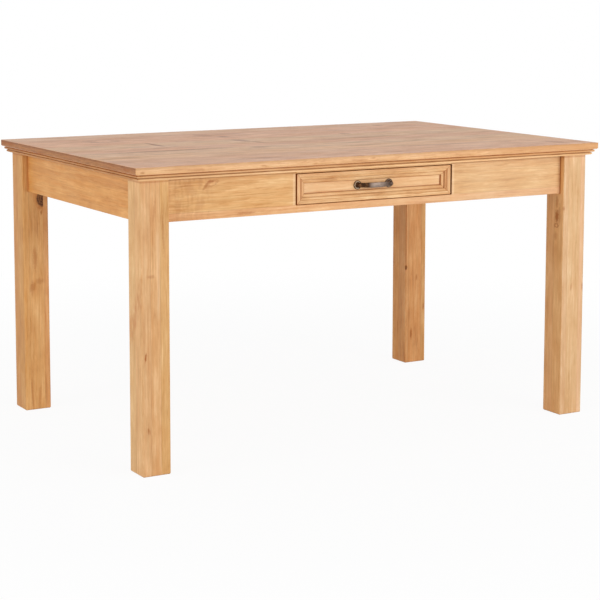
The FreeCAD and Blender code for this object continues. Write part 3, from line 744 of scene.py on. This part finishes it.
# on its left end with Y and height
END_MARKS = (
    (395.0, 754.0, 70.0, 7.0, 0.7), (-398.0, 751.0, 26.0, 5.0, 0.6),
    (150.0, 745.0, 60.0, 4.0, 0.5),
)
# on its front edge with X and height
EDGE_MARKS = (
    (-682.0, 748.0, 9.0, 3.5, 0.5), (-600.0, 751.0, 34.0, 1.6, 0.4),
    (-354.0, 749.0, 11.0, 3.0, 0.45), (-300.0, 752.0, 40.0, 1.4, 0.35),
    (-36.0, 753.0, 14.0, 2.2, 0.45), (110.0, 751.0, 60.0, 2.0, 0.3),
    (323.0, 757.0, 30.0, 2.5, 0.55), (520.0, 750.0, 50.0, 2.0, 0.3),
)
SLAB_MARKS = (on_face(THROUGH, SLAB_TOP, TOP_MARKS, 9.0) + on_face(ALONG, SLAB_END, END_MARKS, 9.0)
              + on_face(ACROSS, SLAB_FRONT, EDGE_MARKS, 9.0))

dress(pine("pine_top", "xyz", "edge", 1.0, joints=TOP_JOINTS, places=SLAB_MARKS,
           pith=(0.0, 690.0, 500.0), gloss=0.4, contrast=1.35, wave=8.0, warm=0.55,
           top_look="top", details=slab_edge), "tabletop")
# the left moulding takes side_bead, a copy of bead darkened as painted shade
MOULDINGS = (("front", "xzy", "bead"), ("back", "xzy", "bead"), ("left", "yzx", "side_bead"),
             ("right", "yzx", "bead"))
for number, (edge, axes, look) in enumerate(MOULDINGS):
    dress(pine("pine_moulding_" + edge, axes, look, 2.0 + number, pith=(700.0, 0.0, 40.0),
               ring=5.0, details=moulding_lines, wild=0.0), "moulding_" + edge)

# the legs' knots and marks start with the height, because their grain runs upward
# each leg's tint of its faces along X is painted light and shade: lighter on the front left leg's
# outer face, warmer on the front right leg's inner face, darker on the back left leg's
LEGS = {
    "front_left": dict(
        look="leg", joints=(-652.0, -626.0), side_light=(1.06, 1.06, 1.01), details=front_left_leg,
        places=on_face(THROUGH, -LEG_OUT[1], (
            (296.0, -666.5, 14.0, 3.2, 0.9, 0.1), (493.0, -651.0, 6.0, 13.0, 0.35),
            (115.0, -661.0, 11.0, 2.5, 0.6), (112.0, -657.0, 9.0, 2.0, 0.4),
            (655.0, -641.0, 46.0, 4.0, 0.3, 0.08), (600.0, -618.0, 70.0, 4.0, 0.35, -0.05)))),
    "front_right": dict(
        look="pale_leg", joints=(618.0, 660.0), side_light=(1.14, 1.02, 0.78), contrast=1.15,
        details=front_right_leg,
        places=on_face(ACROSS, LEG_IN[0], (
            (556.0, -399.0, 24.0, 11.0, 0.85), (562.0, -409.0, 34.0, 7.0, 0.4),
            (595.0, -398.0, 22.0, 7.0, 0.5), (500.0, -394.0, 16.0, 8.0, 0.3)), 6.0)
        + on_face(ACROSS, LEG_IN[0], ((530.0, -397.0, 7.0, 10.0, 0.6, 0.0, 1),), 9.0)
        + on_face(THROUGH, -LEG_OUT[1], (
            (358.0, 633.0, 14.0, 3.5, 0.45, 0.1), (358.0, 672.0, 16.0, 4.0, 0.45),
            (580.0, 603.0, 9.0, 4.0, 0.5)))),
    "back_left": dict(
        look="dark_leg", joints=(-659.0, -615.6), side_light=(0.93, 0.9, 0.85), details=leg_reveals,
        knots=(((600.0, -616.0, LEG_IN[1]), 18.0, 1.25, -659.0, -615.6),),
        places=on_face(THROUGH, LEG_IN[1], (
            (42.0, -656.0, 60.0, 4.0, 0.4, -0.06), (34.0, -634.0, 44.0, 5.0, 0.35, 0.08),
            (60.0, -616.0, 52.0, 4.0, 0.3), (560.0, -622.0, 8.0, 3.5, 0.7),
            (574.0, -626.0, 8.0, 9.0, 0.4), (430.0, -642.0, 44.0, 9.0, 0.4),
            (350.0, -650.0, 22.0, 12.0, 0.5, 0.1), (366.0, -630.0, 10.0, 18.0, 0.35)))
        + on_face(THROUGH, LEG_OUT[1], ((650.0, -661.0, 60.0, 4.0, 0.3),))),
    "back_right": dict(
        look="dark_leg", joints=(612.0, 660.0), details=back_right_leg,
        knots=(((306.0, 602.0, LEG_IN[1]), 4.0, 1.5, 590.0, 612.0),),
        places=on_face(THROUGH, LEG_IN[1], (
            (92.0, 623.0, 24.0, 5.0, 0.8), (273.0, 642.0, 12.0, 4.0, 0.6),
            (177.0, 669.0, 14.0, 4.0, 0.6), (160.0, 615.0, 30.0, 4.0, 0.3)))),
}
for number, (name, (sx, sy)) in enumerate(CORNERS.items()):
    wood = pine("pine_leg_" + name, "zxy", seed=6.0 + number, cross_joints=(sy * LEG_JOINT,),
                pith=(sx * 700.0, sy * 470.0, 80.0), ring=7.0, figure=0.7, wild=0.08,
                **LEGS[name])
    add_piece("leg_post_" + name, leg_post(sx, sy), "table", "pine_legs", wood, "leg_" + name)

# the front apron's marks start with X and height
APRON_MARKS = (
    (-478.0, 713.0, 15.0, 4.5, 0.75, 0.1), (-492.0, 703.0, 11.0, 8.0, 0.6, 0.9),
    (-474.0, 708.0, 18.0, 8.0, 0.3, 0.3, 1), (-560.0, 704.0, 30.0, 3.0, 0.25, 0.12),
    (-330.0, 690.0, 70.0, 2.0, 0.2, 0.02), (-380.0, 629.0, 34.0, 4.5, 0.45),
)
dress(pine("pine_apron_front", "xzy", "apron", 11.0, joints=(639.5,), pith=(690.0, -310.0, 30.0),
           ring=9.0, wild=0.0, contrast=1.2, cloudy=0.27, details=apron_details, matt=in_side_gap,
           places=on_face(THROUGH, APRON_FRONT, APRON_MARKS)), "front_apron")
dress(pine("pine_apron_back", "xzy", "apron", 12.0, pith=(690.0, 300.0, 30.0), ring=9.0),
      "back_apron")
# the left apron takes side, a copy of apron darkened as painted shade
dress(pine("pine_apron_left", "yzx", "side", 13.0, pith=(560.0, -560.0, 30.0), ring=9.0,
           figure=0.6, wild=0.0, details=side_apron_details), "left_apron")
dress(pine("pine_apron_right", "yzx", "apron", 14.0, pith=(690.0, 560.0, 30.0), ring=9.0),
      "right_apron")
dress(pine("pine_drawer_rail", "xzy", "rail", 15.0, pith=(600.0, -400.0, 30.0), ring=4.0,
           details=rail_lines, matt=in_long_gap, wild=0.0, figure=1.3, contrast=1.55),
      "drawer_frame_top", "drawer_frame_bottom")
dress(pine("pine_drawer_stile", "zxy", "stile", 16.0, pith=(0.0, -340.0, 60.0), ring=4.0,
           details=stile_lines, matt=in_side_gap, wild=0.0),
      "drawer_frame_left", "drawer_frame_right")
dress(pine("pine_drawer_panel", "xzy", "panel", 17.0, pith=(720.0, -350.0, 30.0), ring=7.0,
           details=panel_lines, wild=0.0), "drawer_panel")


def raw_pine(name, axes, seed, pith, gloss=0.6, **figure):
    """Unfinished wood of the inner parts: paler and duller."""
    return pine(name, axes, "raw", seed, pith=pith, gloss=gloss, specular=0.2, **figure)


dress(raw_pine("pine_box", "yzx", 18.0, (640.0, 60.0, 30.0)),
      "drawer_side_left", "drawer_side_right")
dress(raw_pine("pine_box_ends", "xzy", 19.0, (640.0, 80.0, 30.0)),
      "drawer_box_front", "drawer_back", "drawer_pull_stop")
dress(raw_pine("pine_drawer_bottom", "xyz", 20.0, (0.0, 590.0, 200.0), ring=14.0, wild=0.0),
      "drawer_bottom")
dress(raw_pine("pine_battens", "yxz", 21.0, (0.0, 640.0, 500.0), gloss=0.62),
      "top_batten_left", "top_batten_right", "drawer_runner_left", "drawer_runner_right",
      "drawer_kicker_left", "drawer_kicker_right", "drawer_stops")
dress(raw_pine("pine_buttons", "xyz", 22.0, (0.0, 640.0, 500.0), gloss=0.62), "tabletop_buttons")
for number, (name, (sx, sy)) in enumerate(CORNERS.items()):
    dress(raw_pine("pine_block_" + name, "xyz", 23.0 + number, (0.0, 600.0, 300.0), gloss=0.62,
                   turn=sx * sy * math.pi / 4.0), "corner_block_" + name)


# ---------------- metal
BRONZE_DARK = srgb(60, 37, 20)
BRONZE_BROWN = srgb(98, 66, 40)
BRONZE_REFLECTION = srgb(128, 113, 103)
BRONZE_DISH_HIGHLIGHT = srgb(216, 198, 174)
ZINC_DARK = srgb(176, 176, 174)
ZINC_PALE = srgb(206, 206, 200)


def aged_bronze():
    """Dark brown bronze, with a grey painted reflection along the bow and a painted highlight in
    the dish round each boss.
    """
    graph = Graph("aged_bronze")
    x, y, z = graph.place()
    patch = graph.noise([x / 9.0, y / 9.0, z / 9.0], 4.0, 0.6)
    speck = graph.noise([x / 0.8, y / 0.8, z / 0.8], 2.0)
    from_foot = (((abs(x) - HANDLE_HALF) ** 2.0) + ((z - FRONT_MIDDLE) ** 2.0)).root()
    low = y.smooth(PANEL_FACE - 5.5, PANEL_FACE - 3.5)
    # painted highlight in the dish round each boss, stronger on the left one; painted reflection
    # along the bow, strongest near its middle and fading towards the right end
    dish = band(from_foot, 7.9, 9.7, 0.5) * low * (x.smooth(30.0, -30.0) * 0.7 + 0.3)
    bow_reflection = x.smooth(-29.0, -15.0) * (x.smooth(46.0, 6.0) * 0.6 + 0.4)
    colour = graph.mix(BRONZE_DARK, BRONZE_BROWN, patch.smooth(0.4, 0.7))
    colour = graph.mix(colour, BRONZE_REFLECTION, bow_reflection * (patch.smooth(0.2, 0.6) * 0.3 + 0.65))
    colour = graph.mix(colour, BRONZE_DISH_HIGHLIGHT, dish * 0.85)
    return graph.finish(colour, speck * 0.1 + 0.44, speck * 0.02 + patch * 0.05, Metallic=0.85)


def zinc_steel():
    """Pale zinc plating in soft patches."""
    graph = Graph("zinc_steel")
    x, y, z = graph.place()
    patch = graph.noise([x / 2.5, y / 2.5, z / 2.5], 3.0, 0.6)
    colour = graph.mix(ZINC_DARK, ZINC_PALE, patch)
    return graph.finish(colour, patch * 0.2 + 0.28, patch * 0.02, Metallic=1.0)


bronze = aged_bronze()
zinc = zinc_steel()
dress(zinc, "hanger_bolts", "bolt_washers", "bolt_nuts", "handle_screws")


# ---------------- handle
LATHE_SIDES = 40
# radius and height over the panel
ROSETTE = ((11.5, 0.0), (11.5, 1.1), (11.3, 1.8), (10.9, 2.3), (10.4, 2.4), (9.9, 2.1), (9.6, 1.6),
           (9.1, 1.3), (8.5, 1.3), (8.0, 1.7), (7.7, 2.6), (7.2, 3.5), (6.3, 4.2), (5.2, 4.5))
BOSS = ((5.3, 4.4), (4.7, 4.9), (4.4, 5.6), (4.8, 6.3), (5.9, 7.0), (6.7, 8.1), (7.0, 9.6),
        (6.8, 11.2), (6.1, 12.8), (5.0, 14.1), (3.5, 15.0), (1.9, 15.5), (0.6, 15.7))
BOW_FOOT = 9.0          # strap's inner face over the panel at its ends
BOW_RISE = 15.0
BOW_HALF = 2.0          # half its thickness
BOW_ROUND = 1.1
BOW_HEIGHT = 13.4       # in the middle
BOW_NARROWING = 2.6     # less at its ends
BOW_STATIONS = 49
CORNER_STEPS = 3


def turned(mesh, profile, middle):
    """Turned shape whose axis points out of the drawer front."""
    turns = [2.0 * math.pi * side / LATHE_SIDES for side in range(LATHE_SIDES)]
    loft(mesh, [[(middle + r * math.cos(a), PANEL_FACE - out, FRONT_MIDDLE + r * math.sin(a))
                 for a in turns] for r, out in profile])


def bow_section(height):
    """Rounded rectangle: thickness across, height upward."""
    points = []
    for quarter, (u, v) in enumerate(((1, 1), (-1, 1), (-1, -1), (1, -1))):
        for step in range(CORNER_STEPS + 1):
            a = math.radians(90.0 * quarter + 90.0 / CORNER_STEPS * step)
            points.append((u * (BOW_HALF - BOW_ROUND) + BOW_ROUND * math.cos(a),
                           v * (height / 2.0 - BOW_ROUND) + BOW_ROUND * math.sin(a)))
    return points


def bow_strap(mesh):
    """Flat strap on an arc between the bosses, a little taller in the middle."""
    radius = (HANDLE_HALF ** 2 + BOW_RISE ** 2) / (2.0 * BOW_RISE)
    reach = math.asin(HANDLE_HALF / radius)
    arc_middle = PANEL_FACE - BOW_FOOT - BOW_RISE + radius
    rings = []
    for station in range(BOW_STATIONS):
        share = 2.0 * station / (BOW_STATIONS - 1) - 1.0
        turn = share * reach
        section = bow_section(BOW_HEIGHT - BOW_NARROWING * share ** 2)
        rings.append([((radius + u) * math.sin(turn), arc_middle - (radius + u) * math.cos(turn),
                       FRONT_MIDDLE + v) for u, v in section])
    loft(mesh, rings)


def boss(middle):
    """Maker of the domed end at one place."""
    return lambda mesh: turned(mesh, BOSS, middle)


def joined(makers):
    """One closed mesh, in millimetres, of shapes that run into each other."""
    solids = []
    for maker in makers:
        mesh = bmesh.new()
        maker(mesh)
        solids.append(add_piece("solid_%d" % len(solids), mesh, None, None, bronze))
    for other in solids[1:]:
        union = solids[0].modifiers.new("union", "BOOLEAN")
        union.operation = "UNION"
        union.solver = "EXACT"
        union.object = other
    graph = bpy.context.evaluated_depsgraph_get()
    data = bpy.data.meshes.new_from_object(solids[0].evaluated_get(graph))
    mesh = bmesh.new()
    mesh.from_mesh(data)
    bmesh.ops.scale(mesh, vec=(1.0 / MM,) * 3, verts=mesh.verts)
    for solid in solids:
        bpy.data.objects.remove(solid)
    return mesh


rosettes = bmesh.new()
for side in (-HANDLE_HALF, HANDLE_HALF):
    turned(rosettes, ROSETTE, side)
add_piece("handle_plates", rosettes, "drawer", "aged_bronze", bronze, "handle_rosettes")
bow = joined((bow_strap, boss(-HANDLE_HALF), boss(HANDLE_HALF)))
add_piece("handle_pull", bow, "drawer", "aged_bronze", bronze, "handle_bow")


# ---------------- wood screws
SCREW_SIDES = 24
# radius and height over the wood as shares of the head's radius, from the rim of its flat
SCREW_HEAD = ((0.80, 0.50), (0.94, 0.38), (1.0, 0.18), (1.0, -0.05), (0.5, -0.05))
# radius as a share of the head's, depth as a share of the length
SCREW_SHANK = ((0.46, 0.8), (0.05, 1.0))
RECESS_ARM = 0.5        # shares of the head's radius
RECESS_HALF = 0.11
RECESS_DEPTH = 0.4
RECESS_TAPER = 0.6


def add_screw(mesh, place, out, radius, length):
    """Pan-head wood screw with a cross recess, standing out of the wood along a direction."""
    frame_at = Matrix.Translation(place) @ Vector(out).to_track_quat("Z", "Y").to_matrix().to_4x4()

    def vertex(x, y, z):
        return mesh.verts.new(frame_at @ Vector((x, y, z)))

    outline = [(share * radius, height * radius) for share, height in SCREW_HEAD]
    outline += [(share * radius, -depth * length) for share, depth in SCREW_SHANK]
    turns = [2.0 * math.pi * side / SCREW_SIDES for side in range(SCREW_SIDES)]
    rings = [[vertex(r * math.cos(a), r * math.sin(a), z) for a in turns] for r, z in outline]
    for upper, lower in zip(rings, rings[1:]):
        for side in range(SCREW_SIDES):
            following = (side + 1) % SCREW_SIDES
            mesh.faces.new((upper[side], lower[side], lower[following], upper[following]))
    mesh.faces.new(reversed(rings[-1]))

    arm, half = RECESS_ARM * radius, RECESS_HALF * radius
    top = outline[0][1]
    bottom = top - RECESS_DEPTH * radius
    quarter = SCREW_SIDES // 4
    mouth = []
    base = []
    for step in range(4):
        turn = Matrix.Rotation(step * math.pi / 2.0, 3, "Z")
        for x, y in ((arm, 0.0), (arm, half), (half, half), (half, arm)):
            point = turn @ Vector((x, y, 0.0))
            mouth.append(vertex(point.x, point.y, top))
            base.append(vertex(point.x * RECESS_TAPER, point.y * RECESS_TAPER, bottom))
    for step in range(4):
        arc = [rings[0][(step * quarter + side) % SCREW_SIDES] for side in range(quarter + 1)]
        cross = [mouth[(step * 4 + corner) % 16] for corner in range(4, -1, -1)]
        mesh.faces.new(arc + cross)
    for corner in range(16):
        following = (corner + 1) % 16
        mesh.faces.new((mouth[corner], mouth[following], base[following], base[corner]))
    mesh.faces.new(base)


def screws(name, body, places, out, radius=4.0, length=22.0):
    """Group of like wood screws on one body."""
    mesh = bmesh.new()
    for place in places:
        add_screw(mesh, Vector(place), out, radius, length)
    add_piece(name, mesh, body, "zinc_steel", zinc, smooth=False)


DOWN = (0.0, 0.0, -1.0)
INWARD = (0.0, 1.0, 0.0)
OUTWARD = (0.0, -1.0, 0.0)
BOTH = (-1.0, 1.0)
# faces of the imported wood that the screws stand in
BATTEN_UNDER = 722.0
KICKER_UNDER = 709.8
BOX_FRONT_INSIDE = -372.0
PULL_STOP_FACE = -58.0
BOTTOM_UNDER = 647.3

screws("batten_screws", "table",
       [(s * 420.0, y, BATTEN_UNDER) for s in BOTH for y in (-290.0, 0.0, 290.0)], DOWN)
screws("button_screws", "table",
       [(s * x, t * y, BATTEN_UNDER) for x, y in ((495.0, 365.0), (615.0, 191.0))
        for s in BOTH for t in BOTH], DOWN)
screws("kicker_screws", "table",
       [(s * 237.4, y, KICKER_UNDER) for s in BOTH for y in (-300.0, -60.0)], DOWN, radius=3.2)
screws("drawer_front_screws", "drawer",
       [(s * 170.0, BOX_FRONT_INSIDE, z) for s in BOTH for z in (666.0, 696.0)], INWARD)
screws("pull_stop_screws", "drawer",
       [(s * 16.0, PULL_STOP_FACE, 686.0) for s in BOTH], OUTWARD, radius=3.5)
screws("drawer_bottom_screws", "drawer",
       [(x, -42.0, BOTTOM_UNDER) for x in (-150.0, 0.0, 150.0)], DOWN, radius=3.0, length=14.0)


# ---------------- studio
WHITE = (1.0, 1.0, 1.0, 1.0)
FLOOR_PAINT = ((0.93, 0.93, 0.93, 1.0), (0.95, 0.95, 0.95, 1.0))


def seen_directly(tree):
    """1 for rays from the camera and for reflected and refracted ones, 0 for diffuse light."""
    rays = tree.nodes.new("ShaderNodeLightPath")
    share = rays.outputs["Is Camera Ray"]
    for name in ("Is Glossy Ray", "Is Transmission Ray"):
        either = tree.nodes.new("ShaderNodeMath")
        either.operation = "MAXIMUM"
        tree.links.new(share, either.inputs[0])
        tree.links.new(rays.outputs[name], either.inputs[1])
        share = either.outputs[0]
    return share


def studio_world(level):
    """Plain white surroundings that light the table softly and look white behind it."""
    world = bpy.data.worlds.new("studio")
    world.use_nodes = True
    bpy.context.scene.world = world
    tree = world.node_tree
    background = tree.nodes["Background"]
    background.inputs["Color"].default_value = WHITE
    strength = tree.nodes.new("ShaderNodeMapRange")
    strength.inputs["To Min"].default_value = level
    strength.inputs["To Max"].default_value = 1.0
    tree.links.new(seen_directly(tree), strength.inputs["Value"])
    tree.links.new(strength.outputs[0], background.inputs["Strength"])


def floor(size, near_glow):
    """Pale floor that keeps a soft shadow under the table and fades to white farther off.

    size is half its side in metres, and near_glow its share of plain white near the table.
    """
    mesh = bpy.data.meshes.new("floor")
    corners = [(-size, -size, 0.0), (size, -size, 0.0), (size, size, 0.0), (-size, size, 0.0)]
    mesh.from_pydata(corners, [], [(0, 1, 2, 3)])
    plane = bpy.data.objects.new("floor", mesh)
    bpy.context.scene.collection.objects.link(plane)
    graph = Graph("floor_paint")
    tree = graph.tree
    x, y, z = graph.place()
    grain = graph.noise([x / 40.0, y / 40.0, z], 3.0)
    graph.finish(graph.mix(*FLOOR_PAINT, grain), grain * 0.1 + 0.85, None, Specular_IOR_Level=0.0)
    shine = graph.node("Emission", {"Color": WHITE, "Strength": 1.0})
    away = ((x ** 2.0 + y ** 2.0).root()).smooth(900.0, 2600.0)
    share = Value(graph, seen_directly(tree)) * (away * (1.0 - near_glow) + near_glow)
    blend = graph.node("MixShader", {0: share, 1: graph.surface.outputs[0], 2: shine.outputs[0]})
    graph.feed(tree.nodes["Material Output"].inputs["Surface"], blend.outputs[0])
    mesh.materials.append(graph.material)


def softbox(name, place, target, width, height, power):
    """Area lamp aimed at a point, unseen by the camera."""
    data = bpy.data.lights.new(name, "AREA")
    data.shape = "RECTANGLE"
    data.size = width
    data.size_y = height
    data.energy = power
    lamp = bpy.data.objects.new(name, data)
    lamp.location = place
    lamp.rotation_euler = (Vector(target) - Vector(place)).to_track_quat("-Z", "Y").to_euler()
    lamp.visible_camera = False
    bpy.context.scene.collection.objects.link(lamp)


MIDDLE = (0.0, 0.0, 0.5)
studio_world(level=0.56)
floor(size=30.0, near_glow=0.93)
softbox("key", (1.7, -4.2, 1.1), MIDDLE, width=3.2, height=2.0, power=90.0)
softbox("side_fill", (-4.0, -0.8, 1.1), MIDDLE, width=2.2, height=2.0, power=42.0)

# ---------------- camera
AZIMUTH = math.radians(-29.407)
TILT = math.radians(6.731)
PLACE = (-2.4117, -4.1676, 1.1855)
FOCAL_PIXELS = 1737.0
FRAME_PIXELS = 600.0
SENSOR = 36.0
SHIFT = (0.0382, -0.18)

camera_data = bpy.data.cameras.new("camera")
camera_data.sensor_width = SENSOR
camera_data.lens = FOCAL_PIXELS / FRAME_PIXELS * SENSOR
camera_data.shift_x, camera_data.shift_y = SHIFT
camera = bpy.data.objects.new("camera", camera_data)
camera.location = PLACE
camera.rotation_euler = (math.pi / 2.0 - TILT, 0.0, AZIMUTH)
bpy.context.scene.collection.objects.link(camera)
bpy.context.scene.camera = camera
bpy.context.scene.view_settings.view_transform = "Standard"
